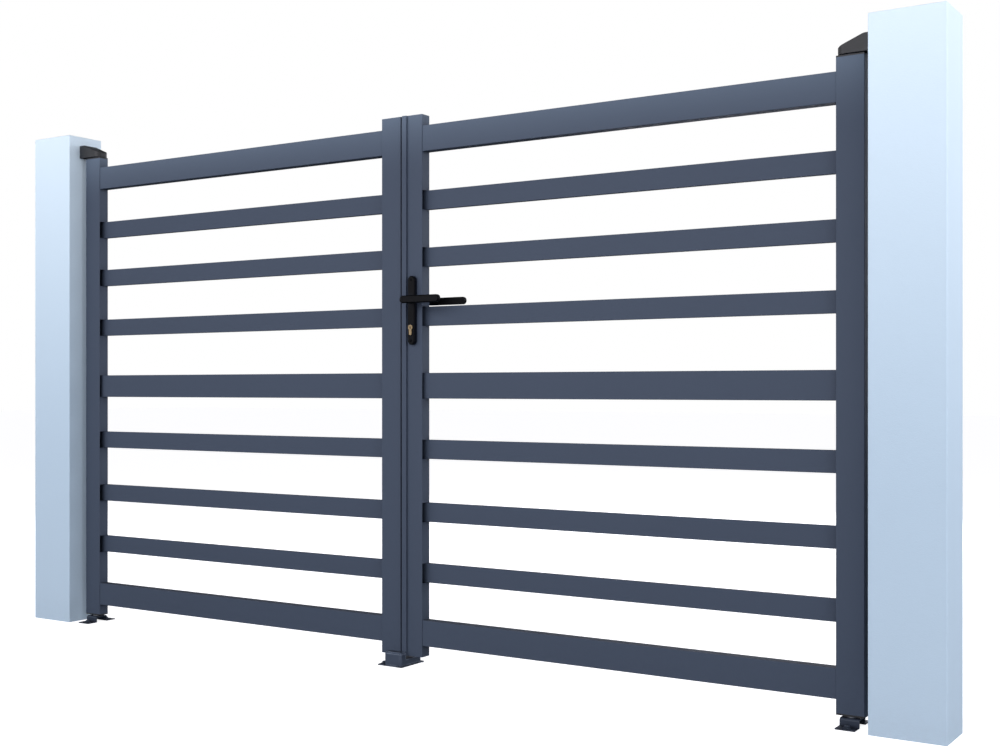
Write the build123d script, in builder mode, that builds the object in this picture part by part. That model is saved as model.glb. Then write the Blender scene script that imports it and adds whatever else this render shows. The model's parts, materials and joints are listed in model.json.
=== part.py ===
"""Double-leaf aluminium swing gate with horizontal slats, hung between two masonry pillars.

+X runs along the gate, +Y points into the property, +Z is up. The origin is the centre of the
left pillar's foot, and the gate's middle plane is Y = 0. Sizes are in millimetres.
"""
import os

from build123d import *

os.makedirs("parts", exist_ok=True)

# Pillars and the passage between them
passage_width = 3000.0
pillar_width = 195.0
pillar_depth = 150.0
pillar_margin = 34.5
pillar_bevel = 1.5

# Leaves
hinge_gap = 26.0
meeting_gap = 8.0
leaf_ground_gap = 27.0
stile_width = 75.0
stile_depth = 40.0
stile_wall = 2.0
stile_height = 1692.0
stile_bevel = 1.2

# Rails and slats, whose ends stand inside the stiles
rail_height = 80.0
rail_wall = 2.0
rail_bevel = 1.0
mid_rail_depth = 25.0
rail_inset = 35.5
slat_height = 60.0
slat_depth = 16.0
slat_wall = 1.5
slat_bevel = 0.8
lower_slat_shifts = (-12.0, -10.0, -1.0)
upper_slat_shifts = (19.5, 16.5, 7.0)
tenon_length = 15.0
tenon_clearance = 0.3

# Plugs that close the stiles, and the pivot pins in them
plug_depth = 32.0
plug_flange = 4.0
plug_wall = 3.0
pivot_radius = 7.0
pivot_depth = 26.0
running_clearance = 0.05

# Folded ground brackets
bracket_width = 52.0
bracket_sheet = 3.0
bracket_bend = 3.0
bracket_flange = 42.0
bracket_hat_depth = 44.0
bracket_clearance = 5.0
bracket_hole_radius = 5.0
pin_collar_radius = 13.0
collar_clearance = 0.3

# Wedge-shaped hinge caps on the pillars
cap_clearance = 2.0
cap_depth = 54.0
cap_low = 17.5
cap_high = 46.5
cap_flat = 27.0
cap_round = 22.0
cap_edge = 1.5
cap_setback = 3.0
cap_wall = 3.5
cap_corner = 18.0
cap_boss_radius = 12.0
cap_bore_depth = 16.0

# Ground stop under the meeting stiles
stop_clearance = 5.5
stop_plate = 3.0
stop_width = 66.0
stop_shift = -8.0
stop_lip_height = 44.5
stop_lip_depth = 26.0
stop_saddle_depth = 77.5
stop_round = 9.0
stop_edge = 5.0
stop_front_margin = 4.5
stop_rear_margin = 12.0
stop_left_margin = 22.5
stop_right_margin = 6.5
stop_plate_corner = 3.0
stop_hole_radius = 5.0
stop_hole_spacing = 80.0

# Cover strip on the right meeting stile
strip_width = 18.0
strip_thickness = 6.0
strip_bevel = 1.2

# Lock and lever set
handle_rise = 1112.8
handle_backset = 42.0
plate_height = 215.0
plate_width = 26.0
plate_thickness = 14.0
plate_edge = 2.5
plate_top = 76.0
cylinder_drop = 85.0
cylinder_radius = 8.5
cylinder_tail_width = 10.0
cylinder_tail_drop = 19.5
cylinder_stand = 3.5
cylinder_clearance = 0.2
keyway_width = 2.4
keyway_height = 9.0
keyway_depth = 6.0
neck_radius = 9.0
lever_stand = 46.6
lever_length = 148.7
lever_heel = 12.7
lever_height = 23.5
lever_thickness = 12.0
lever_edge = 3.0
spindle_size = 8.0
spindle_clearance = 0.1
socket_depth = 24.0
spindle_passage_radius = 8.0
lock_case_height = 165.0
lock_case_gap = 2.0
lock_case_thickness = 16.0
lock_case_drop = 36.0
faceplate_height = 235.0
faceplate_width = 22.0
faceplate_corner = 4.0
strike_hole_width = 13.0
latch_hole_height = 24.0
latch_hole_rise = 20.0
bolt_hole_height = 38.0
bolt_hole_drop = 70.0

# Places worked out from the sizes above
pillar_pitch = passage_width + pillar_width
centre_x = pillar_pitch / 2
leaf_width = passage_width / 2 - hinge_gap - meeting_gap / 2
stile_bottom = leaf_ground_gap + plug_flange
stile_top = stile_bottom + stile_height
leaf_top = stile_top + plug_flange
hinge_reach = passage_width / 2 - hinge_gap - stile_width / 2
meeting_reach = meeting_gap / 2 + stile_width / 2
rail_reach = meeting_gap / 2 + leaf_width / 2
rail_length = leaf_width - 2 * stile_width + 2 * tenon_length
hollow_width = stile_width - 2 * stile_wall
hollow_depth = stile_depth - 2 * stile_wall
rail_depth = hollow_depth - 2 * tenon_clearance
tenon_rear = hollow_depth / 2 - tenon_clearance

bottom_rail_z = stile_bottom + rail_inset + rail_height / 2
top_rail_z = stile_top - rail_inset - rail_height / 2
mid_rail_z = (bottom_rail_z + top_rail_z) / 2
slat_pitch = (mid_rail_z - bottom_rail_z - rail_height - 3 * slat_height) / 4 + slat_height


def slat_heights(rail_z, shifts):
    """Middle height of each slat in the field that stands on the rail at rail_z."""
    first = rail_z + rail_height / 2 - slat_height / 2
    return [first + (i + 1) * slat_pitch + shift for i, shift in enumerate(shifts)]


slat_zs = slat_heights(bottom_rail_z, lower_slat_shifts) + slat_heights(mid_rail_z, upper_slat_shifts)
rails = {
    "bottom_rail": (bottom_rail_z, rail_depth),
    "mid_rail": (mid_rail_z, mid_rail_depth),
    "top_rail": (top_rail_z, rail_depth),
}

bracket_height = leaf_ground_gap - bracket_clearance
cap_base = leaf_top + cap_clearance
pillar_height = cap_base + cap_high + pillar_margin
cap_length = hinge_gap + stile_width - cap_setback

lock_stile_x = centre_x + meeting_reach
lock_edge_x = centre_x + meeting_gap / 2
strike_edge_x = centre_x - meeting_gap / 2
handle_x = lock_edge_x + handle_backset
handle_z = stile_bottom + handle_rise
cylinder_z = handle_z - cylinder_drop
plate_z = handle_z + plate_top - plate_height / 2
lock_case_z = handle_z - lock_case_drop
lock_case_depth = stile_width - tenon_length - lock_case_gap
neck_start = stile_depth / 2 + tenon_clearance
lever_back = stile_depth / 2 + lever_stand


def save(part, name):
    """Label one finished piece and write it to its own file."""
    part.label = name
    export_step(part, f"parts/{name}.step")


def make_pillar(name, pillar_x):
    """Plain rendered masonry pillar."""
    with BuildPart() as pillar:
        with BuildSketch() as section:
            with Locations((pillar_x, 0)):
                Rectangle(pillar_width, pillar_depth)
        extrude(amount=pillar_height)
        chamfer(pillar.edges().filter_by(Axis.Z), length=pillar_bevel)
        chamfer(pillar.faces().sort_by(Axis.Z)[-1].edges(), length=pillar_bevel)
    save(pillar.part, name)


def stile_outline(stile_x):
    """Outer section of a stile, drawn in the sketch that is open."""
    with Locations((stile_x, 0)):
        outline = Rectangle(stile_width, stile_depth)
    chamfer(outline.vertices(), stile_bevel)


def make_stile(stile_x, inward):
    """Hollow upright with a mortise for each rail and slat in its inward face."""
    with BuildPart() as stile:
        with BuildSketch(Plane.XY.offset(stile_bottom)) as section:
            stile_outline(stile_x)
            with Locations((stile_x, 0)):
                Rectangle(hollow_width, hollow_depth, mode=Mode.SUBTRACT)
        extrude(amount=stile_height)
        with BuildSketch(Plane.YZ.offset(stile_x + inward * stile_width / 2)) as mortises:
            for rail_z, _ in rails.values():
                with Locations((0, rail_z)):
                    Rectangle(hollow_depth, rail_height + 2 * tenon_clearance)
            for slat_z in slat_zs:
                with Locations((0, slat_z)):
                    Rectangle(hollow_depth, slat_height + 2 * tenon_clearance)
        extrude(amount=-inward * stile_width / 2, mode=Mode.SUBTRACT)
    return stile.part


def make_crosspiece(name, side, z, height, depth, wall, bevel):
    """Hollow rail or slat from stile to stile, its back against the stiles' rear walls."""
    with BuildPart() as crosspiece:
        with BuildSketch(Plane.YZ.offset(centre_x + side * rail_reach)) as section:
            with Locations((tenon_rear - depth / 2, z)):
                outline = Rectangle(depth, height)
            chamfer(outline.vertices(), bevel)
            with Locations((tenon_rear - depth / 2, z)):
                Rectangle(depth - 2 * wall, height - 2 * wall, mode=Mode.SUBTRACT)
        extrude(amount=rail_length / 2, both=True)
    save(crosspiece.part, name)


def make_plugs(name, hinge_x, meeting_x):
    """Plugs in both ends of a leaf's stiles: flanged and bored for the pivots, or hollow and flush."""
    plug_width = hollow_width - 2 * tenon_clearance
    ends = ((stile_bottom, 1), (stile_top, -1))
    with BuildPart() as plugs:
        for end_z, into in ends:
            with BuildSketch(Plane.XY.offset(end_z)) as bodies:
                with Locations((hinge_x, 0), (meeting_x, 0)):
                    Rectangle(plug_width, rail_depth)
            extrude(amount=into * plug_depth)
            with BuildSketch(Plane.XY.offset(end_z)) as flange:
                stile_outline(hinge_x)
            extrude(amount=-into * plug_flange)
            with BuildSketch(Plane.XY.offset(end_z - into * plug_flange)) as bore:
                with Locations((hinge_x, 0)):
                    Circle(pivot_radius + running_clearance)
            extrude(amount=into * (plug_flange + plug_depth), mode=Mode.SUBTRACT)
            with BuildSketch(Plane.XY.offset(end_z + into * plug_wall)) as hollow:
                with Locations((meeting_x, 0)):
                    Rectangle(plug_width - 2 * plug_wall, rail_depth - 2 * plug_wall)
            extrude(amount=into * plug_depth, mode=Mode.SUBTRACT)
    save(plugs.part, name)


def make_ground_bracket(name, hinge_x):
    """Hat section folded from sheet, bolted down through its two flanges."""
    hat = bracket_hat_depth / 2
    reach = hat + bracket_flange
    roof = bracket_height - bracket_sheet
    with BuildPart() as bracket:
        with BuildSketch(Plane.YZ.offset(hinge_x)) as section:
            with BuildLine() as fold:
                FilletPolyline(
                    (-reach, 0),
                    (-hat, 0),
                    (-hat, roof),
                    (hat, roof),
                    (hat, 0),
                    (reach, 0),
                    radius=bracket_bend,
                )
                offset(amount=bracket_sheet, side=Side.LEFT)
            make_face()
        extrude(amount=bracket_width / 2, both=True)
        with BuildSketch(Plane.XY) as holes:
            with Locations((hinge_x, 0)):
                Circle(pivot_radius + running_clearance)
            flange_middle = hat + bracket_flange / 2
            with Locations((hinge_x, -flange_middle), (hinge_x, flange_middle)):
                Circle(bracket_hole_radius)
        extrude(amount=bracket_height, mode=Mode.SUBTRACT)
    save(bracket.part, name)


def make_ground_pin(name, hinge_x):
    """Pivot pin set in the bracket's roof, with a collar that carries the leaf."""
    roof = bracket_height - bracket_sheet
    collar_z = leaf_ground_gap - collar_clearance
    tip_z = leaf_ground_gap + pivot_depth
    with BuildPart() as pin:
        with BuildSketch(Plane((hinge_x, 0, 0), x_dir=(1, 0, 0), z_dir=(0, -1, 0))) as half:
            with BuildLine() as outline:
                Polyline(
                    (0, roof),
                    (pivot_radius, roof),
                    (pivot_radius, bracket_height),
                    (pin_collar_radius, bracket_height),
                    (pin_collar_radius, collar_z),
                    (pivot_radius, collar_z),
                    (pivot_radius, tip_z),
                    (0, tip_z),
                    close=True,
                )
            make_face()
        revolve(axis=Axis((hinge_x, 0, 0), (0, 0, 1)))
    save(pin.part, name)


def make_hinge_cap(name, side):
    """Wedge-shaped hinge cap: a shell on the pillar with a boss that holds the top pin."""
    pillar_x = centre_x + side * passage_width / 2
    hinge_x = centre_x + side * hinge_reach
    end_x = pillar_x - side * cap_length
    flat_x = pillar_x - side * cap_flat
    with BuildPart() as inside:
        with BuildSketch(Plane.XZ) as inner_section:
            with BuildLine() as inner_outline:
                Polyline(
                    (pillar_x - side * cap_wall, cap_base),
                    (end_x + side * cap_wall, cap_base),
                    (end_x + side * cap_wall, cap_base + cap_low - cap_wall),
                    (flat_x, cap_base + cap_high - 2 * cap_wall),
                    (pillar_x - side * cap_wall, cap_base + cap_high - 2 * cap_wall),
                    close=True,
                )
            make_face()
        extrude(amount=cap_depth / 2 - cap_wall, both=True)
        inner_corners = inside.edges().filter_by(Axis.Z).group_by(Axis.X)[0 if side > 0 else -1]
        chamfer(inner_corners, cap_corner - cap_wall)
        with Locations((hinge_x, 0, cap_base)):
            Cylinder(
                cap_boss_radius,
                cap_high,
                align=(Align.CENTER, Align.CENTER, Align.MIN),
                mode=Mode.SUBTRACT,
            )
    with BuildPart() as cap:
        with BuildSketch(Plane.XZ) as section:
            with BuildLine() as outline:
                Polyline(
                    (pillar_x, cap_base),
                    (end_x, cap_base),
                    (end_x, cap_base + cap_low),
                    (flat_x, cap_base + cap_high),
                    (pillar_x, cap_base + cap_high),
                    close=True,
                )
            make_face()
            roof_corners = section.vertices().group_by(Axis.Y)[-1].sort_by(Axis.X)
            fillet(roof_corners[0 if side > 0 else -1], cap_round)
        extrude(amount=cap_depth / 2, both=True)
        end_corners = cap.edges().filter_by(Axis.Z).group_by(Axis.X)[0 if side > 0 else -1]
        fillet(end_corners, cap_corner)
        roof_edges = cap.edges().filter_by(Axis.Z, reverse=True)
        roof_edges = roof_edges.filter_by_position(Axis.Z, cap_base + cap_low, pillar_height)
        chamfer(roof_edges.group_by(Axis.Y)[0] + roof_edges.group_by(Axis.Y)[-1], cap_edge)
        add(inside.part, mode=Mode.SUBTRACT)
        with BuildSketch(Plane.XY.offset(cap_base)) as bore:
            with Locations((hinge_x, 0)):
                Circle(pivot_radius + running_clearance)
        extrude(amount=cap_bore_depth, mode=Mode.SUBTRACT)
    save(cap.part, name)


def make_top_pin(name, hinge_x):
    """Pin between the hinge cap and the top plug of the hinge stile."""
    low_z = leaf_top - pivot_depth
    high_z = cap_base + cap_bore_depth - collar_clearance
    with BuildPart() as pin:
        with BuildSketch(Plane.XY.offset(low_z)) as section:
            with Locations((hinge_x, 0)):
                Circle(pivot_radius)
        extrude(amount=high_z - low_z)
    save(pin.part, name)


def euro_section(extra):
    """Keyhole-shaped section of the lock cylinder, enlarged all round by extra."""
    with Locations((handle_x, cylinder_z)):
        Circle(cylinder_radius + extra)
    with Locations((handle_x, cylinder_z - cylinder_tail_drop / 2)):
        SlotCenterToCenter(cylinder_tail_drop, cylinder_tail_width + 2 * extra, rotation=90)


def make_lock_plate(name, front):
    """Long rounded plate on one face of the lock stile."""
    with BuildPart() as plate:
        with BuildSketch(Plane.XZ.offset(front * stile_depth / 2)) as outline:
            with Locations((handle_x, plate_z)):
                SlotOverall(plate_height, plate_width, rotation=90)
        extrude(amount=front * plate_thickness)
        outer_face = plate.faces().filter_by(Axis.Y).sort_by(Axis.Y)[0 if front > 0 else -1]
        chamfer(outer_face.edges(), plate_edge)
        with BuildSketch(Plane.XZ.offset(front * stile_depth / 2)) as passages:
            with Locations((handle_x, handle_z)):
                Circle(neck_radius + running_clearance)
            euro_section(cylinder_clearance)
        extrude(amount=front * plate_thickness, mode=Mode.SUBTRACT)
    save(plate.part, name)


def make_lever(name, front):
    """Flat lever with round ends on a round neck, socketed for the square spindle."""
    with BuildPart() as lever:
        with BuildSketch(Plane.XZ.offset(front * lever_back)) as outline:
            with Locations((handle_x + lever_length / 2 - lever_heel, handle_z)):
                SlotOverall(lever_length, lever_height)
        extrude(amount=front * lever_thickness)
        outer_face = lever.faces().filter_by(Axis.Y).sort_by(Axis.Y)[0 if front > 0 else -1]
        chamfer(outer_face.edges(), lever_edge)
        with BuildSketch(Plane.XZ.offset(front * neck_start)) as neck:
            with Locations((handle_x, handle_z)):
                Circle(neck_radius)
        extrude(amount=front * (lever_back + lever_thickness / 2 - neck_start))
        with BuildSketch(Plane.XZ.offset(front * neck_start)) as socket:
            with Locations((handle_x, handle_z)):
                Rectangle(spindle_size + 2 * spindle_clearance, spindle_size + 2 * spindle_clearance)
        extrude(amount=front * socket_depth, mode=Mode.SUBTRACT)
    save(lever.part, name)


# Pillars, hinge caps, ground brackets and their pins
for side_name, side in (("left", -1), ("right", 1)):
    hinge_x = centre_x + side * hinge_reach
    make_pillar(f"{side_name}_pillar", centre_x + side * pillar_pitch / 2)
    make_hinge_cap(f"{side_name}_hinge_cap", side)
    make_top_pin(f"{side_name}_top_pin", hinge_x)
    make_ground_bracket(f"{side_name}_ground_bracket", hinge_x)
    make_ground_pin(f"{side_name}_ground_pin", hinge_x)

# Crosspieces, hinge stiles and plugs of both leaves
for side_name, side in (("left", -1), ("right", 1)):
    hinge_x = centre_x + side * hinge_reach
    meeting_x = centre_x + side * meeting_reach
    save(make_stile(hinge_x, -side), f"{side_name}_hinge_stile")
    make_plugs(f"{side_name}_stile_plugs", hinge_x, meeting_x)
    for rail_name, (rail_z, depth) in rails.items():
        make_crosspiece(f"{side_name}_{rail_name}", side, rail_z, rail_height, depth, rail_wall, rail_bevel)
    for number, slat_z in enumerate(slat_zs, start=1):
        slat_name = f"{side_name}_slat_{number}"
        make_crosspiece(slat_name, side, slat_z, slat_height, slat_depth, slat_wall, slat_bevel)

# Left meeting stile, with the strike plate let into its edge
with BuildPart() as left_meeting_stile:
    add(make_stile(centre_x - meeting_reach, -1))
    with BuildSketch(Plane.YZ.offset(strike_edge_x)) as strike_seat:
        with Locations((0, lock_case_z)):
            RectangleRounded(
                faceplate_width + 2 * tenon_clearance,
                faceplate_height + 2 * tenon_clearance,
                faceplate_corner,
            )
    extrude(amount=-stile_width / 2, mode=Mode.SUBTRACT)
save(left_meeting_stile.part, "left_meeting_stile")

with BuildPart() as strike_plate:
    with BuildSketch(Plane.YZ.offset(strike_edge_x)) as strike_outline:
        with Locations((0, lock_case_z)):
            RectangleRounded(faceplate_width, faceplate_height, faceplate_corner)
        with Locations((0, handle_z + latch_hole_rise)):
            Rectangle(strike_hole_width, latch_hole_height, mode=Mode.SUBTRACT)
        with Locations((0, handle_z - bolt_hole_drop)):
            Rectangle(strike_hole_width, bolt_hole_height, mode=Mode.SUBTRACT)
    extrude(amount=-stile_wall)
save(strike_plate.part, "strike_plate")

# Right meeting stile, cut for the lock case, its spindle and its cylinder
with BuildPart() as right_meeting_stile:
    add(make_stile(lock_stile_x, 1))
    with BuildSketch(Plane.YZ.offset(lock_edge_x)) as faceplate_seat:
        with Locations((0, lock_case_z)):
            RectangleRounded(
                faceplate_width + 2 * tenon_clearance,
                faceplate_height + 2 * tenon_clearance,
                faceplate_corner,
            )
    extrude(amount=stile_width / 2, mode=Mode.SUBTRACT)
    with BuildSketch(Plane.XZ) as lock_passages:
        with Locations((handle_x, handle_z)):
            Circle(spindle_passage_radius)
        euro_section(cylinder_clearance)
    extrude(amount=stile_depth, both=True, mode=Mode.SUBTRACT)
save(right_meeting_stile.part, "right_meeting_stile")

with BuildPart() as lock_case:
    with BuildSketch(Plane.YZ.offset(lock_edge_x)) as faceplate:
        with Locations((0, lock_case_z)):
            RectangleRounded(faceplate_width, faceplate_height, faceplate_corner)
    extrude(amount=stile_wall)
    with BuildSketch(Plane.YZ.offset(lock_edge_x)) as case_section:
        with Locations((0, lock_case_z)):
            Rectangle(lock_case_thickness, lock_case_height)
    extrude(amount=lock_case_depth)
    with BuildSketch(Plane.XZ) as case_passages:
        with Locations((handle_x, handle_z)):
            Circle(spindle_passage_radius)
        euro_section(cylinder_clearance)
    extrude(amount=lock_case_thickness, both=True, mode=Mode.SUBTRACT)
save(lock_case.part, "lock_case")

with BuildPart() as cover_strip:
    with BuildSketch(Plane.XY.offset(stile_bottom)) as strip_section:
        with Locations((lock_edge_x + strip_width / 2, -stile_depth / 2 - strip_thickness / 2)):
            Rectangle(strip_width, strip_thickness)
        chamfer(strip_section.vertices().group_by(Axis.Y)[0], strip_bevel)
    extrude(amount=stile_height)
save(cover_strip.part, "cover_strip")

with BuildPart() as lock_cylinder:
    cylinder_half = stile_depth / 2 + plate_thickness + cylinder_stand
    with BuildSketch(Plane.XZ) as cylinder_section:
        euro_section(0)
    extrude(amount=cylinder_half, both=True)
    for front in (1, -1):
        with BuildSketch(Plane.XZ.offset(front * cylinder_half)) as keyway:
            with Locations((handle_x, cylinder_z)):
                Rectangle(keyway_width, keyway_height)
        extrude(amount=-front * keyway_depth, mode=Mode.SUBTRACT)
save(lock_cylinder.part, "lock_cylinder")

for face_name, front in (("front", 1), ("rear", -1)):
    make_lock_plate(f"{face_name}_lock_plate", front)
    make_lever(f"{face_name}_lever", front)

with BuildPart() as lever_spindle:
    with BuildSketch(Plane.XZ) as spindle_section:
        with Locations((handle_x, handle_z)):
            Rectangle(spindle_size, spindle_size)
    extrude(amount=neck_start + socket_depth - collar_clearance, both=True)
save(lever_spindle.part, "lever_spindle")

# Ground stop: a lip in front of the leaves and a low saddle under them
stop_x = centre_x + stop_shift
saddle_z = leaf_ground_gap - stop_clearance
lip_back_y = -(stile_depth / 2 + strip_thickness + stop_clearance)
lip_front_y = lip_back_y - stop_lip_depth
saddle_rear_y = lip_back_y + stop_saddle_depth
stop_plate_width = stop_width + stop_left_margin + stop_right_margin
stop_plate_depth = saddle_rear_y - lip_front_y + stop_front_margin + stop_rear_margin
with BuildPart() as centre_stop:
    with BuildSketch(Plane.YZ.offset(stop_x)) as stop_section:
        with BuildLine() as stop_outline:
            Polyline(
                (lip_front_y, 0),
                (lip_front_y, stop_lip_height),
                (lip_back_y, stop_lip_height),
                (lip_back_y, saddle_z),
                (saddle_rear_y, saddle_z),
                (saddle_rear_y, 0),
                close=True,
            )
        make_face()
    extrude(amount=stop_width / 2, both=True)
    lip_front = centre_stop.faces().sort_by(Axis.Y)[0]
    fillet(lip_front.edges().filter_by(Axis.Z), stop_round)
    lip_top = centre_stop.faces().filter_by(Axis.Z).sort_by(Axis.Z)[-1]
    chamfer(lip_top.edges().sort_by(Axis.Y)[:-1], stop_edge)
    with BuildSketch(Plane.XY) as stop_base:
        with Locations(
            (
                stop_x + (stop_right_margin - stop_left_margin) / 2,
                (lip_front_y - stop_front_margin + saddle_rear_y + stop_rear_margin) / 2,
            )
        ):
            RectangleRounded(stop_plate_width, stop_plate_depth, stop_plate_corner)
    extrude(amount=stop_plate)
    with BuildSketch(Plane.XY) as stop_holes:
        with Locations((stop_x - stop_width / 2 - stop_left_margin / 2, 0)):
            with GridLocations(0, stop_hole_spacing, 1, 2):
                Circle(stop_hole_radius)
    extrude(amount=stop_plate, mode=Mode.SUBTRACT)
save(centre_stop.part, "centre_stop")
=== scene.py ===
import json
import math

import bmesh
import bpy
from mathutils import Matrix, Vector


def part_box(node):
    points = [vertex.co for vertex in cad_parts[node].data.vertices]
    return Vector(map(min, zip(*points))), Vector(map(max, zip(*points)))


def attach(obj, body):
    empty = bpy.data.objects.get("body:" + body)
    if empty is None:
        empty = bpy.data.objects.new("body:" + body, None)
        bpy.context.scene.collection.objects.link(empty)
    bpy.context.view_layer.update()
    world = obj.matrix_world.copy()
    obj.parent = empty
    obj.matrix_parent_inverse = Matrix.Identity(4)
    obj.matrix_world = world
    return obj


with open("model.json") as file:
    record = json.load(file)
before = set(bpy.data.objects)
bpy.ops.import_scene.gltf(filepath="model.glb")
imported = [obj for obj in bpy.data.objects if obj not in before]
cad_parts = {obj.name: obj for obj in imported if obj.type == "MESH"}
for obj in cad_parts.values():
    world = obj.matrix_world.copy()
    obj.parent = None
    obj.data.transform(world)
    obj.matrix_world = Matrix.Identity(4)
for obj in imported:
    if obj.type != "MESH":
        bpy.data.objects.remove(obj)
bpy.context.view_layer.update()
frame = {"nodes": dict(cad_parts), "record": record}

SCENE = bpy.context.scene

# Linear colours of the finishes.
BLUE_GREY = (0.0625, 0.0815, 0.1165)
# Painted top light: the lighter coat at the top of the leaves.
BLUE_GREY_TOP_LIT = (0.122, 0.160, 0.212)
# Rubbed edges of the leaves' coat, and a painted highlight on the edges of the steel brackets.
BLUE_GREY_WORN_AND_LIT = (0.125, 0.150, 0.186)
BRACKET_GREY = (0.043, 0.055, 0.077)
STOP_GREY = (0.058, 0.075, 0.107)
# Painted highlight on the stop's rim.
STOP_GREY_HIGHLIGHT = (0.235, 0.280, 0.345)
CAP_BLACK = (0.021, 0.021, 0.0210)
CAP_BLACK_WORN = (0.055, 0.055, 0.058)
HANDLE_BLACK = (0.0020, 0.0022, 0.0028)
HANDLE_BLACK_WORN = (0.010, 0.010, 0.012)
SCREW_BLACK = (0.0006, 0.0006, 0.0007)
ZINC = (0.53, 0.55, 0.58)
ZINC_DULL = (0.36, 0.38, 0.41)
BRASS = (0.31, 0.235, 0.135)
BRASS_DULL = (0.20, 0.145, 0.080)
RENDER_PALE = (0.530, 0.665, 0.765)
RENDER_SHADE = (0.505, 0.635, 0.733)
# Painted top light: the lighter render at the top of the pillars, also used on their rubbed edges.
RENDER_TOP_LIT = (0.785, 0.925, 0.995)
RENDER_GRIME = (0.42, 0.44, 0.46)
# Painted shade in the render's corners, such as beside the gate's stiles.
RENDER_CORNER_SHADE = (0.20, 0.25, 0.29)
# Painted shade on the coats' top faces and near the ground.
SHADE_ON_TOPS_AND_FOOT = (0.020, 0.025, 0.037)
# Painted shade in the joints, pockets and corners of the coats.
CORNER_SHADE_COLOUR = (0.010, 0.0145, 0.028)
METAL_DUST = (0.33, 0.33, 0.32)
FLOOR_PALE = (0.85, 0.85, 0.85)
FLOOR_BOUNCE = (0.10, 0.11, 0.13)
DAYLIGHT = (1.0, 1.0, 1.08)

# Heights of the painted top light: the leaves' coat turns lighter towards their top edge, and the pillars'
# render from low down up to their top.
TOP_LIGHT_START = 1.53
TOP_LIGHT_FULL = 1.722
PILLAR_LIGHT_START = 0.55
PILLAR_LIGHT_FULL = 1.82

# Places of the fixings, in metres.
PLATE_SCREW_PITCH = 0.190
EDGE_SCREW_INSET = 0.011
BRACKET_FLANGE = 0.042
STOP_BOLT_INSET = 0.01125
STOP_BOLT_REACH = 0.040
GROUND_SHEET = 0.003
PLATE_SCREW_SINK = 0.00015
FIXING_SINK = 0.0001

# Sizes of the fixings, in millimetres.
PLATE_SCREW_RADIUS = 4.0
PLATE_SCREW_PROUD = 0.7
EDGE_SCREW_RADIUS = 3.4
EDGE_SCREW_PROUD = 0.5
BOLT_FLATS = 13.0
BOLT_HEAD = 5.3
NECK_RING_INNER = 9.4
NECK_RING_OUTER = 12.2
NECK_RING_HEIGHT = 1.8
SHARP_ANGLE = math.radians(32)

# Floor, and the sky's light at the horizon, overhead and in reflections.
FLOOR_REACH = 40.0
FLOOR_LEVEL = -0.0006
FLOOR_GLOW = 0.80
SKY_HORIZON = 0.92
SKY_ZENITH = 0.10
SKY_TOP = 0.7
SKY_IN_GLOSS = 0.30

# Camera.
CAMERA_PLACE = (4.1537, -3.4098, 0.8696)
CAMERA_HEADING = math.radians(32.845)
CAMERA_LENS = 48.492
CAMERA_LIFT = 0.0131


def add_node(tree, kind, **settings):
    node = tree.nodes.new(kind)
    for key, value in settings.items():
        setattr(node, key, value)
    return node


def new_group(name, inputs, outputs):
    group = bpy.data.node_groups.new(name, "ShaderNodeTree")
    for label, kind, value in inputs:
        socket = group.interface.new_socket(name=label, in_out="INPUT", socket_type=kind)
        socket.default_value = value
    for label, kind in outputs:
        group.interface.new_socket(name=label, in_out="OUTPUT", socket_type=kind)
    return group, add_node(group, "NodeGroupInput"), add_node(group, "NodeGroupOutput")


def maths(tree, operation, first, second, clamp=False):
    node = add_node(tree, "ShaderNodeMath", operation=operation, use_clamp=clamp)
    for socket, value in zip(node.inputs, (first, second)):
        if isinstance(value, (int, float)):
            socket.default_value = value
        else:
            tree.links.new(value, socket)
    return node.outputs[0]


def ramp(tree, value, start, gain):
    """Nothing up to the start, then a rise by the gain until it is full."""
    return maths(tree, "MULTIPLY", maths(tree, "SUBTRACT", value, start, clamp=True), gain, clamp=True)


def noise(tree, coordinates, scale, detail, roughness):
    node = add_node(tree, "ShaderNodeTexNoise")
    tree.links.new(coordinates, node.inputs["Vector"])
    node.inputs["Detail"].default_value = detail
    node.inputs["Roughness"].default_value = roughness
    if isinstance(scale, (int, float)):
        node.inputs["Scale"].default_value = scale
    else:
        tree.links.new(scale, node.inputs["Scale"])
    return node.outputs["Fac"]


def blend_colour(tree, factor, first, second):
    node = add_node(tree, "ShaderNodeMix", data_type="RGBA")
    tree.links.new(factor, node.inputs["Factor"])
    for socket, value in zip((node.inputs[6], node.inputs[7]), (first, second)):
        if isinstance(value, tuple):
            socket.default_value = (*value, 1.0)
        else:
            tree.links.new(value, socket)
    return node.outputs[2]


def own_place(tree):
    """Place of a point on its own piece, so that a pattern stays on the piece when it moves."""
    return add_node(tree, "ShaderNodeTexCoord").outputs["Object"]


def upright_part(tree, vector):
    """The vertical part of a place or of a direction."""
    split = add_node(tree, "ShaderNodeSeparateXYZ")
    tree.links.new(vector, split.inputs[0])
    return split.outputs["Z"]


def height_share(tree, low, high):
    """Share of the way from one height to another, from 0 to 1."""
    node = add_node(tree, "ShaderNodeMapRange")
    tree.links.new(upright_part(tree, own_place(tree)), node.inputs["Value"])
    node.inputs["From Min"].default_value = low
    node.inputs["From Max"].default_value = high
    return node.outputs["Result"]


def make_colour_drift():
    """Slow cloudy change between two close shades of one finish."""
    group, start, end = new_group(
        "colour_drift",
        [("Shade A", "NodeSocketColor", (1, 1, 1, 1)), ("Shade B", "NodeSocketColor", (1, 1, 1, 1)),
         ("Scale", "NodeSocketFloat", 3.0)],
        [("Colour", "NodeSocketColor")])
    cloud = noise(group, own_place(group), start.outputs["Scale"], 4.0, 0.55)
    colour = blend_colour(group, cloud, start.outputs["Shade A"], start.outputs["Shade B"])
    group.links.new(colour, end.inputs["Colour"])
    return group


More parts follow.
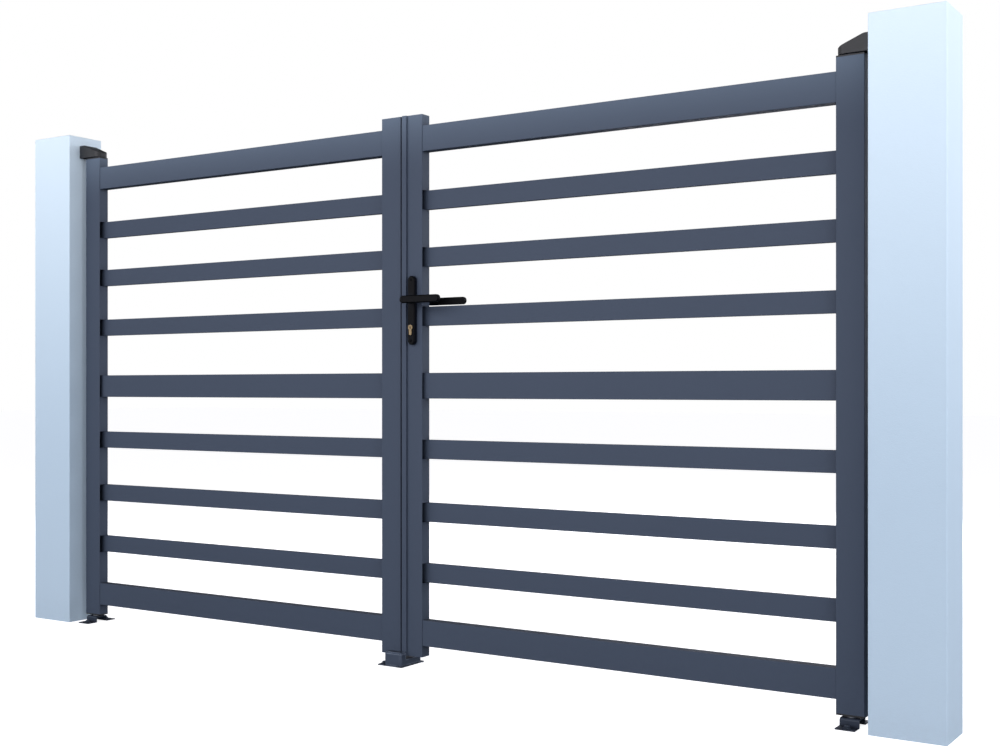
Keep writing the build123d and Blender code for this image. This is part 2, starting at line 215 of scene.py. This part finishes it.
def make_fine_grain():
    """Small surface grain: its height for a bump, and its part in the roughness."""
    coarse_share = 0.035
    coarse_height = 0.6
    group, start, end = new_group(
        "fine_grain",
        [("Scale", "NodeSocketFloat", 600.0), ("Roughness Low", "NodeSocketFloat", 0.3),
         ("Roughness High", "NodeSocketFloat", 0.45)],
        [("Height", "NodeSocketFloat"), ("Roughness", "NodeSocketFloat")])
    place = own_place(group)
    fine = noise(group, place, start.outputs["Scale"], 2.0, 0.5)
    coarse_scale = maths(group, "MULTIPLY", start.outputs["Scale"], coarse_share)
    coarse = noise(group, place, coarse_scale, 3.0, 0.6)
    height = maths(group, "ADD", fine, maths(group, "MULTIPLY", coarse, coarse_height))
    gloss = add_node(group, "ShaderNodeMapRange")
    group.links.new(coarse, gloss.inputs["Value"])
    group.links.new(start.outputs["Roughness Low"], gloss.inputs["To Min"])
    group.links.new(start.outputs["Roughness High"], gloss.inputs["To Max"])
    group.links.new(height, end.inputs["Height"])
    group.links.new(gloss.outputs["Result"], end.inputs["Roughness"])
    return group


def make_edge_wear_and_highlight():
    """Mask of the outer edges, broken up so that it comes and goes: rubbed edges on most finishes, a painted
    highlight on the stop and the steel brackets.
    """
    edge_gain = 6.0
    group, start, end = new_group(
        "edge_wear_and_highlight",
        [("Width", "NodeSocketFloat", 0.0015), ("Amount", "NodeSocketFloat", 0.5),
         ("Break Up", "NodeSocketFloat", 25.0)],
        [("Mask", "NodeSocketFloat")])
    soft = add_node(group, "ShaderNodeBevel", samples=4)
    group.links.new(start.outputs["Width"], soft.inputs["Radius"])
    facing = add_node(group, "ShaderNodeVectorMath", operation="DOT_PRODUCT")
    group.links.new(soft.outputs["Normal"], facing.inputs[0])
    flat = add_node(group, "ShaderNodeNewGeometry").outputs["Normal"]
    group.links.new(flat, facing.inputs[1])
    turn = maths(group, "SUBTRACT", 1.0, facing.outputs["Value"], clamp=True)
    edge = maths(group, "MULTIPLY", turn, edge_gain, clamp=True)
    patches = noise(group, own_place(group), start.outputs["Break Up"], 4.0, 0.6)
    mask = maths(group, "MULTIPLY", edge, ramp(group, patches, start=0.35, gain=2.6))
    mask = maths(group, "MULTIPLY", mask, start.outputs["Amount"], clamp=True)
    group.links.new(mask, end.inputs["Mask"])
    return group


def make_top_and_foot_grime_and_shade():
    """Mask of nearly level upward faces, and of patchy spots near the ground: dirt and dust on the metals
    and the masonry, painted shade on the coats.
    """
    even_share = 0.55
    patchy_share = 0.45
    group, start, end = new_group(
        "top_and_foot_grime_and_shade",
        [("On Top", "NodeSocketFloat", 0.3), ("Near Ground", "NodeSocketFloat", 0.2),
         ("Splash Height", "NodeSocketFloat", 0.25)],
        [("Mask", "NodeSocketFloat")])
    place = own_place(group)
    facing = add_node(group, "ShaderNodeNewGeometry").outputs["Normal"]
    upward = ramp(group, upright_part(group, facing), start=0.8, gain=6.0)
    patches = noise(group, place, 14.0, 4.0, 0.55)
    cover = maths(group, "ADD", even_share, maths(group, "MULTIPLY", patches, patchy_share))
    on_top = maths(group, "MULTIPLY", maths(group, "MULTIPLY", upward, cover), start.outputs["On Top"])
    share = maths(group, "DIVIDE", upright_part(group, place), start.outputs["Splash Height"])
    low = maths(group, "SUBTRACT", 1.0, share, clamp=True)
    spots = ramp(group, noise(group, place, 60.0, 5.0, 0.65), start=0.42, gain=3.0)
    splash_and_shade = maths(group, "MULTIPLY", maths(group, "MULTIPLY", low, spots), start.outputs["Near Ground"])
    group.links.new(maths(group, "ADD", on_top, splash_and_shade, clamp=True), end.inputs["Mask"])
    return group


def make_painted_corner_shade():
    """Mask of painted shade in joints, pockets and corners, darkest where the least open space is seen,
    fading out near the ground.
    """
    falloff = 1.3
    group, start, end = new_group(
        "painted_corner_shade",
        [("Reach", "NodeSocketFloat", 0.05), ("Amount", "NodeSocketFloat", 1.0),
         ("Clean Below", "NodeSocketFloat", 0.001)],
        [("Mask", "NodeSocketFloat")])
    shelter = add_node(group, "ShaderNodeAmbientOcclusion", samples=6)
    group.links.new(start.outputs["Reach"], shelter.inputs["Distance"])
    hidden = maths(group, "SUBTRACT", 1.0, shelter.outputs["AO"], clamp=True)
    hidden = maths(group, "POWER", hidden, falloff)
    mask = maths(group, "MULTIPLY", hidden, start.outputs["Amount"], clamp=True)
    height = upright_part(group, own_place(group))
    above_ground = maths(group, "DIVIDE", height, start.outputs["Clean Below"], clamp=True)
    group.links.new(maths(group, "MULTIPLY", mask, above_ground), end.inputs["Mask"])
    return group


COLOUR_DRIFT = make_colour_drift()
FINE_GRAIN = make_fine_grain()
EDGE_WEAR_AND_HIGHLIGHT = make_edge_wear_and_highlight()
TOP_AND_FOOT_GRIME_AND_SHADE = make_top_and_foot_grime_and_shade()
PAINTED_CORNER_SHADE = make_painted_corner_shade()


def use_group(tree, group, **values):
    """Places an effect in a material, with that material's own values."""
    node = add_node(tree, "ShaderNodeGroup", node_tree=group)
    for key, value in values.items():
        socket = node.inputs[key.replace("_", " ")]
        socket.default_value = (*value, 1.0) if isinstance(value, tuple) else value
    return node


def new_material(name):
    material = bpy.data.materials.new(name)
    material.use_nodes = True
    tree = material.node_tree
    return material, tree, tree.nodes["Principled BSDF"]


def bump(tree, shader, height, distance, strength=1.0):
    node = add_node(tree, "ShaderNodeBump")
    node.inputs["Strength"].default_value = strength
    node.inputs["Distance"].default_value = distance
    tree.links.new(height, node.inputs["Height"])
    tree.links.new(node.outputs["Normal"], shader.inputs["Normal"])


def darker(colour, share):
    return tuple(share * part for part in colour)


def make_coating(name, shades, edge_colour, grain, gloss, bump_depth, lighter_edges, top_and_foot_shade, drift_scale=2.5, shine=0.5,
                 top_lit_colour=None, splash_and_shade=0.25, corners=(0.03, 1.0, 0.001)):
    """A painted or moulded finish: drifting colour, fine grain, lighter edges (rubbed paint, and on some
    finishes a painted highlight), and painted shade on top faces, near the ground and in corners.

    lighter_edges is the width and amount of the lighter edges, top_and_foot_shade the amount of painted
    shade on top faces and near the ground, and corners the reach and amount of the painted corner shade and
    the height below which it fades out.
    """
    top_and_foot_dulls = 0.4
    material, tree, shader = new_material(name)
    shader.inputs["Specular IOR Level"].default_value = shine
    drift = use_group(tree, COLOUR_DRIFT, Shade_A=shades[0], Shade_B=shades[1], Scale=drift_scale)
    edge = use_group(tree, EDGE_WEAR_AND_HIGHLIGHT, Width=lighter_edges[0], Amount=lighter_edges[1])
    cover = use_group(tree, TOP_AND_FOOT_GRIME_AND_SHADE, On_Top=top_and_foot_shade[0], Near_Ground=top_and_foot_shade[1], Splash_Height=splash_and_shade)
    corner_shade = use_group(tree, PAINTED_CORNER_SHADE, Reach=corners[0], Amount=corners[1], Clean_Below=corners[2])
    surface = use_group(tree, FINE_GRAIN, Scale=grain, Roughness_Low=gloss[0], Roughness_High=gloss[1])
    colour = drift.outputs["Colour"]
    # Painted top light: the coat turns lighter towards the top edge of the leaves.
    if top_lit_colour:
        top_light = maths(tree, "POWER", height_share(tree, TOP_LIGHT_START, TOP_LIGHT_FULL), 2.0)
        colour = blend_colour(tree, top_light, colour, top_lit_colour)
    # Lighter edges: rubbed paint, and on the stop and the steel brackets a painted highlight.
    colour = blend_colour(tree, edge.outputs["Mask"], colour, edge_colour)
    # Painted shade: top faces and the parts near the ground are darkened.
    colour = blend_colour(tree, cover.outputs["Mask"], colour, SHADE_ON_TOPS_AND_FOOT)
    # Painted shade: joints, pockets and corners are darkened.
    colour = blend_colour(tree, corner_shade.outputs["Mask"], colour, CORNER_SHADE_COLOUR)
    tree.links.new(colour, shader.inputs["Base Color"])
    dulled = maths(tree, "MULTIPLY", cover.outputs["Mask"], top_and_foot_dulls)
    rough = maths(tree, "ADD", surface.outputs["Roughness"], dulled, clamp=True)
    tree.links.new(rough, shader.inputs["Roughness"])
    bump(tree, shader, surface.outputs["Height"], bump_depth)
    return material


def make_metal(name, bright, dull, grain, gloss, bump_depth, lighter_edges, drift_scale=18.0):
    """Bare metal: a bright and a dulled shade in patches, fine grain, polished edges and a little dust."""
    material, tree, shader = new_material(name)
    drift = use_group(tree, COLOUR_DRIFT, Shade_A=bright, Shade_B=dull, Scale=drift_scale)
    edge = use_group(tree, EDGE_WEAR_AND_HIGHLIGHT, Width=lighter_edges[0], Amount=lighter_edges[1], Break_Up=60.0)
    cover = use_group(tree, TOP_AND_FOOT_GRIME_AND_SHADE, On_Top=0.10, Near_Ground=0.25)
    surface = use_group(tree, FINE_GRAIN, Scale=grain, Roughness_Low=gloss[0], Roughness_High=gloss[1])
    colour = blend_colour(tree, edge.outputs["Mask"], drift.outputs["Colour"], bright)
    colour = blend_colour(tree, cover.outputs["Mask"], colour, METAL_DUST)
    tree.links.new(colour, shader.inputs["Base Color"])
    clean = maths(tree, "SUBTRACT", 1.0, cover.outputs["Mask"], clamp=True)
    tree.links.new(clean, shader.inputs["Metallic"])
    tree.links.new(surface.outputs["Roughness"], shader.inputs["Roughness"])
    bump(tree, shader, surface.outputs["Height"], bump_depth)
    return material


def make_rendered_masonry():
    """Fine floated render under a pale masonry paint."""
    float_mark_height = 1.2
    material, tree, shader = new_material("rendered_masonry")
    drift = use_group(tree, COLOUR_DRIFT, Shade_A=RENDER_PALE, Shade_B=RENDER_SHADE, Scale=1.6)
    edge = use_group(tree, EDGE_WEAR_AND_HIGHLIGHT, Width=0.003, Amount=0.15)
    cover = use_group(tree, TOP_AND_FOOT_GRIME_AND_SHADE, On_Top=0.10, Near_Ground=0.10, Splash_Height=0.18)
    corner_shade = use_group(tree, PAINTED_CORNER_SHADE, Reach=0.09, Amount=0.72, Clean_Below=0.16)
    surface = use_group(tree, FINE_GRAIN, Scale=420.0, Roughness_Low=0.78, Roughness_High=0.92)
    # Painted light: the render turns lighter with height, up to the top of the pillars.
    pillar_light = maths(tree, "POWER", height_share(tree, PILLAR_LIGHT_START, PILLAR_LIGHT_FULL), 1.6)
    colour = blend_colour(tree, pillar_light, drift.outputs["Colour"], RENDER_TOP_LIT)
    colour = blend_colour(tree, edge.outputs["Mask"], colour, RENDER_TOP_LIT)
    colour = blend_colour(tree, cover.outputs["Mask"], colour, RENDER_GRIME)
    # Painted shade in the render's corners, such as beside the gate's stiles.
    colour = blend_colour(tree, corner_shade.outputs["Mask"], colour, RENDER_CORNER_SHADE)
    tree.links.new(colour, shader.inputs["Base Color"])
    tree.links.new(surface.outputs["Roughness"], shader.inputs["Roughness"])
    float_marks = noise(tree, own_place(tree), 34.0, 5.0, 0.62)
    float_marks = maths(tree, "MULTIPLY", float_marks, float_mark_height)
    sand = maths(tree, "ADD", surface.outputs["Height"], float_marks)
    bump(tree, shader, sand, 0.0007, 0.55)
    return material


FINISHES = {
    "powder_coat": make_coating(
        "powder_coat", (BLUE_GREY, darker(BLUE_GREY, 0.93)), BLUE_GREY_WORN_AND_LIT,
        grain=950.0, gloss=(0.52, 0.60), bump_depth=0.00006, lighter_edges=(0.0016, 0.22), top_and_foot_shade=(0.90, 0.10),
        shine=0.15, top_lit_colour=BLUE_GREY_TOP_LIT, corners=(0.070, 0.95, 0.16)),
    # The steel's lighter edges are a painted highlight, and its darker top faces and foot are painted shade.
    "coated_steel": make_coating(
        "coated_steel", (BRACKET_GREY, darker(BRACKET_GREY, 0.9)), BLUE_GREY_WORN_AND_LIT,
        grain=800.0, gloss=(0.40, 0.50), bump_depth=0.00008, lighter_edges=(0.0030, 0.85), top_and_foot_shade=(0.70, 2.0),
        shine=0.2, splash_and_shade=0.010, corners=(0.03, 0.9, 0.001)),
    # The stop's lighter rim is a painted highlight, and its darker top faces and base plate are painted
    # shade.
    "stop_coat": make_coating(
        "stop_coat", (STOP_GREY, darker(STOP_GREY, 0.92)), STOP_GREY_HIGHLIGHT,
        grain=800.0, gloss=(0.40, 0.50), bump_depth=0.00008, lighter_edges=(0.0060, 3.0), top_and_foot_shade=(0.80, 2.5),
        shine=0.2, splash_and_shade=0.006, corners=(0.02, 0.6, 0.001)),
    "black_moulding": make_coating(
        "black_moulding", (CAP_BLACK, darker(CAP_BLACK, 0.88)), CAP_BLACK_WORN,
        grain=1400.0, gloss=(0.46, 0.56), bump_depth=0.00010, lighter_edges=(0.0014, 0.30), top_and_foot_shade=(0.02, 0.0),
        drift_scale=9.0),
    "black_handle": make_coating(
        "black_handle", (HANDLE_BLACK, darker(HANDLE_BLACK, 0.86)), HANDLE_BLACK_WORN,
        grain=1700.0, gloss=(0.42, 0.52), bump_depth=0.00004, lighter_edges=(0.0012, 0.40), top_and_foot_shade=(0.01, 0.0),
        drift_scale=14.0, shine=0.10),
    "black_screw": make_coating(
        "black_screw", (SCREW_BLACK, darker(SCREW_BLACK, 0.7)), HANDLE_BLACK,
        grain=2200.0, gloss=(0.40, 0.55), bump_depth=0.00003, lighter_edges=(0.0004, 0.30), top_and_foot_shade=(0.01, 0.0),
        drift_scale=60.0, shine=0.04),
    "bare_steel": make_metal(
        "bare_steel", ZINC, ZINC_DULL, grain=1200.0, gloss=(0.30, 0.46), bump_depth=0.00004,
        lighter_edges=(0.0008, 0.6)),
    "brass": make_metal(
        "brass", BRASS, BRASS_DULL, grain=1500.0, gloss=(0.36, 0.50), bump_depth=0.00003,
        lighter_edges=(0.0006, 0.7), drift_scale=40.0),
    "rendered_masonry": make_rendered_masonry(),
}


def finish_nodes():
    """Gives each solid of the gate the finish of its own material slot, and the stop its own coat."""
    finish_of = {}
    for row in frame["record"]["subparts"]:
        finish_of[row["node"]] = FINISHES[row["material_slot"]]
    finish_of["centre_stop"] = FINISHES["stop_coat"]
    for name, piece in frame["nodes"].items():
        for place in piece.material_slots:
            place.material = finish_of[name]


def round_ring(angle, size):
    """Distance out to a circle, the same all round."""
    return size


def hex_ring(angle, size):
    """Distance out to a hexagon whose flats are size from the middle."""
    part = (angle + math.pi / 6) % (math.pi / 3) - math.pi / 6
    return size / math.cos(part)


def cross_ring(angle, size):
    """Distance out to a cross whose arms reach size from the middle."""
    arm = 0.28 * size
    part = abs((angle + math.pi / 4) % (math.pi / 2) - math.pi / 4)
    if part < math.atan2(arm, size):
        return size / math.cos(part)
    return arm / math.sin(part)


def turned_piece(rings, steps=48, hollow=False):
    """Closed mesh from a stack of rings, each a shape, a size and a height in millimetres."""
    mesh = bmesh.new()
    loops = []
    for shape, size, height in rings:
        loop = []
        for step in range(steps):
            angle = math.tau * step / steps
            reach = shape(angle, size)
            loop.append(mesh.verts.new((reach * math.cos(angle), reach * math.sin(angle), height)))
        loops.append(loop)
    for lower, upper in zip(loops, loops[1:] + loops[:1] if hollow else loops[1:]):
        for step in range(steps):
            after = (step + 1) % steps
            mesh.faces.new((lower[step], lower[after], upper[after], upper[step]))
    if not hollow:
        mesh.faces.new(list(reversed(loops[0])))
        mesh.faces.new(loops[-1])
    mesh.transform(Matrix.Scale(0.001, 4))
    bmesh.ops.recalc_face_normals(mesh, faces=mesh.faces)
    return mesh


def place_piece(mesh, name, spot, outward, body, slot, spin=0.0, finish=None):
    """Sets a turned piece on its spot with its head facing outward, and puts it on its body."""
    turn = Vector(outward).to_track_quat("Z", "Y").to_matrix().to_4x4()
    mesh.transform(Matrix.Translation(Vector(spot)) @ turn @ Matrix.Rotation(spin, 4, "Z"))
    data = bpy.data.meshes.new(name)
    mesh.to_mesh(data)
    mesh.free()
    for face in data.polygons:
        face.use_smooth = True
    data.set_sharp_from_angle(angle=SHARP_ANGLE)
    data.materials.append(FINISHES[finish or slot])
    piece = bpy.data.objects.new(name, data)
    SCENE.collection.objects.link(piece)
    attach(piece, body)


def countersunk_head(radius, proud):
    """A flat screw head with a cross recess, standing a little proud of its countersink."""
    recess = 0.52 * radius
    crown = 1.08 * proud
    lead_in = 0.12
    recess_floor = 0.12
    return [
        (round_ring, radius, 0.0), (round_ring, radius, 0.55 * proud), (round_ring, 0.94 * radius, proud),
        (round_ring, 0.72 * radius, crown), (cross_ring, recess, crown),
        (cross_ring, 0.92 * recess, crown - lead_in), (cross_ring, 0.8 * recess, recess_floor),
    ]


def hex_bolt(flats, head):
    """A washer with a hexagon bolt head on it."""
    half = flats / 2
    washer = 0.80 * flats
    seat = 1.9
    return [
        (round_ring, washer - 0.4, 0.0), (round_ring, washer, 0.4), (round_ring, washer, seat - 0.5),
        (round_ring, washer - 0.5, seat), (round_ring, 0.99 * half, seat), (hex_ring, half, seat + 0.3),
        (hex_ring, half, seat + 0.78 * head), (round_ring, 0.97 * half, seat + head),
        (round_ring, 0.60 * half, seat + 0.97 * head),
    ]


def neck_ring(inner, outer, height):
    """A low bearing ring with rounded rims, open in the middle."""
    return [
        (round_ring, outer, 0.0), (round_ring, outer, 0.55 * height),
        (round_ring, outer - 0.25 * height, 0.88 * height), (round_ring, outer - 0.6 * height, height),
        (round_ring, inner + 0.3 * height, height), (round_ring, inner, 0.75 * height),
        (round_ring, inner, 0.0),
    ]


def middle_of(node):
    low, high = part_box(node)
    return (low + high) / 2, low, high


def lock_plate_faces():
    """Each lock plate's label, its outward direction along Y, its middle and the level of its outer face."""
    rows = []
    for label, side in (("front", -1), ("rear", 1)):
        middle, low, high = middle_of(label + "_lock_plate")
        rows.append((label, side, middle, low.y if side < 0 else high.y))
    return rows


def fit_plate_screws():
    """Two screws through each lock plate."""
    for plate, side, middle, face in lock_plate_faces():
        for label, step in (("upper", 0.5), ("lower", -0.5)):
            spot = (middle.x, face - side * PLATE_SCREW_SINK, middle.z + step * PLATE_SCREW_PITCH)
            place_piece(turned_piece(countersunk_head(PLATE_SCREW_RADIUS, PLATE_SCREW_PROUD)),
                        plate + "_plate_screw_" + label, spot, (0, side, 0),
                        "right_leaf", "black_handle", spin=0.4 + step, finish="black_screw")


def fit_neck_rings():
    """The bearing ring on each lock plate that the lever's neck turns in."""
    spindle, _, _ = middle_of("lever_spindle")
    for plate, side, _, face in lock_plate_faces():
        rings = neck_ring(NECK_RING_INNER, NECK_RING_OUTER, NECK_RING_HEIGHT)
        spot = (spindle.x, face - side * FIXING_SINK, spindle.z)
        place_piece(turned_piece(rings, hollow=True), plate + "_neck_ring", spot, (0, side, 0),
                    "right_leaf", "black_handle")


def fit_ground_bolts():
    """Hexagon bolts with washers that hold the brackets and the centre stop down."""
    rows = []
    for side in ("left", "right"):
        middle, _, high = middle_of(side + "_ground_bracket")
        rows.append((side + "_bracket", middle.x, high.y - BRACKET_FLANGE / 2))
    _, stop_low, _ = middle_of("centre_stop")
    rows.append(("stop", stop_low.x + STOP_BOLT_INSET, STOP_BOLT_REACH))
    for name, x, reach in rows:
        for label, y, spin in (("front", -reach, 0.3), ("back", reach, 0.9)):
            place_piece(turned_piece(hex_bolt(BOLT_FLATS, BOLT_HEAD)), name + "_bolt_" + label,
                        (x, y, GROUND_SHEET - FIXING_SINK), (0, 0, 1), "posts", "coated_steel", spin=spin)


def fit_edge_screws():
    """Screws in the lock case's faceplate and in the strike plate."""
    for node, side, body in (("lock_case", -1, "right_leaf"), ("strike_plate", 1, "left_leaf")):
        middle, low, high = middle_of(node)
        face = low.x if side < 0 else high.x
        for label, z in (("upper", high.z - EDGE_SCREW_INSET), ("lower", low.z + EDGE_SCREW_INSET)):
            place_piece(turned_piece(countersunk_head(EDGE_SCREW_RADIUS, EDGE_SCREW_PROUD)),
                        node + "_screw_" + label, (face - side * FIXING_SINK, middle.y, z), (side, 0, 0),
                        body, "bare_steel", spin=0.2)


def make_floor():
    """Plain pale floor: near white to the eye, with little light thrown back up."""
    corners = ((-1, -1), (1, -1), (1, 1), (-1, 1))
    points = [(x * FLOOR_REACH, y * FLOOR_REACH, FLOOR_LEVEL) for x, y in corners]
    mesh = bpy.data.meshes.new("floor")
    mesh.from_pydata(points, [], [(0, 1, 2, 3)])
    floor = bpy.data.objects.new("floor", mesh)
    SCENE.collection.objects.link(floor)
    material = bpy.data.materials.new("pale_floor")
    material.use_nodes = True
    tree = material.node_tree
    tree.nodes.clear()
    seen = add_node(tree, "ShaderNodeBsdfDiffuse")
    seen.inputs["Color"].default_value = (*FLOOR_PALE, 1.0)
    glow = add_node(tree, "ShaderNodeEmission")
    glow.inputs["Strength"].default_value = FLOOR_GLOW
    bright = add_node(tree, "ShaderNodeAddShader")
    tree.links.new(seen.outputs[0], bright.inputs[0])
    tree.links.new(glow.outputs[0], bright.inputs[1])
    bounce = add_node(tree, "ShaderNodeBsdfDiffuse")
    bounce.inputs["Color"].default_value = (*FLOOR_BOUNCE, 1.0)
    choice = add_node(tree, "ShaderNodeMixShader")
    tree.links.new(add_node(tree, "ShaderNodeLightPath").outputs["Is Camera Ray"], choice.inputs[0])
    tree.links.new(bounce.outputs[0], choice.inputs[1])
    tree.links.new(bright.outputs[0], choice.inputs[2])
    out = add_node(tree, "ShaderNodeOutputMaterial")
    tree.links.new(choice.outputs[0], out.inputs["Surface"])
    mesh.materials.append(material)


def make_world():
    """White surroundings to the eye, and a soft light that is strongest near the horizon."""
    world = bpy.data.worlds.new("studio")
    world.use_nodes = True
    SCENE.world = world
    tree = world.node_tree
    tree.nodes.clear()
    white = add_node(tree, "ShaderNodeBackground")
    white.inputs["Color"].default_value = (1, 1, 1, 1)
    white.inputs["Strength"].default_value = 1.0
    sky = add_node(tree, "ShaderNodeBackground")
    sky.inputs["Color"].default_value = (*DAYLIGHT, 1.0)
    direction = add_node(tree, "ShaderNodeTexCoord").outputs["Generated"]
    lift = add_node(tree, "ShaderNodeMapRange", interpolation_type="SMOOTHSTEP")
    tree.links.new(upright_part(tree, direction), lift.inputs["Value"])
    lift.inputs["From Max"].default_value = SKY_TOP
    lift.inputs["To Min"].default_value = SKY_HORIZON
    lift.inputs["To Max"].default_value = SKY_ZENITH
    path = add_node(tree, "ShaderNodeLightPath")
    mirrored = maths(tree, "MULTIPLY", path.outputs["Is Glossy Ray"], 1.0 - SKY_IN_GLOSS)
    strength = maths(tree, "MULTIPLY", lift.outputs["Result"], maths(tree, "SUBTRACT", 1.0, mirrored))
    tree.links.new(strength, sky.inputs["Strength"])
    choice = add_node(tree, "ShaderNodeMixShader")
    tree.links.new(path.outputs["Is Camera Ray"], choice.inputs[0])
    tree.links.new(sky.outputs[0], choice.inputs[1])
    tree.links.new(white.outputs[0], choice.inputs[2])
    out = add_node(tree, "ShaderNodeOutputWorld")
    tree.links.new(choice.outputs[0], out.inputs["Surface"])


def make_soft_light(name, place, target, width, length, power):
    data = bpy.data.lights.new(name, "AREA")
    data.shape = "RECTANGLE"
    data.size = width
    data.size_y = length
    data.energy = power
    data.color = DAYLIGHT
    lamp = bpy.data.objects.new(name, data)
    SCENE.collection.objects.link(lamp)
    lamp.location = place
    lamp.rotation_euler = (Vector(target) - Vector(place)).to_track_quat("-Z", "Y").to_euler()
    lamp.visible_camera = False


def make_camera():
    data = bpy.data.cameras.new("photo_view")
    data.sensor_fit = "HORIZONTAL"
    data.sensor_width = 36.0
    data.lens = CAMERA_LENS
    data.shift_y = CAMERA_LIFT
    data.clip_end = 200.0
    camera = bpy.data.objects.new("photo_view", data)
    SCENE.collection.objects.link(camera)
    camera.location = CAMERA_PLACE
    camera.rotation_euler = (math.radians(90.0), 0.0, CAMERA_HEADING)
    SCENE.camera = camera


# Finishes on the solids, and the fixings that are shown here only.
finish_nodes()
fit_plate_screws()
fit_neck_rings()
fit_ground_bolts()
fit_edge_screws()

# Studio: each light has its place, the point it faces, its width and length, and its power in watts.
make_floor()
make_world()
make_soft_light("front_light", (1.6, -4.0, 2.05), (1.6, 0.0, 1.05), 6.0, 2.8, 145.0)
make_soft_light("right_light", (5.9, -0.3, 1.65), (3.3, -0.2, 0.95), 4.0, 2.4, 80.0)
make_soft_light("left_light", (-1.9, -2.8, 2.0), (0.0, -0.1, 1.0), 2.4, 2.4, 19.0)
make_soft_light("back_light", (1.6, 5.5, 2.0), (1.6, 0.0, 1.0), 5.0, 2.6, 170.0)
make_soft_light("far_side_light", (-3.8, 1.2, 1.8), (0.0, 0.1, 1.0), 2.4, 2.4, 60.0)
make_camera()
SCENE.view_settings.view_transform = "Standard"
SCENE.view_settings.look = "None"
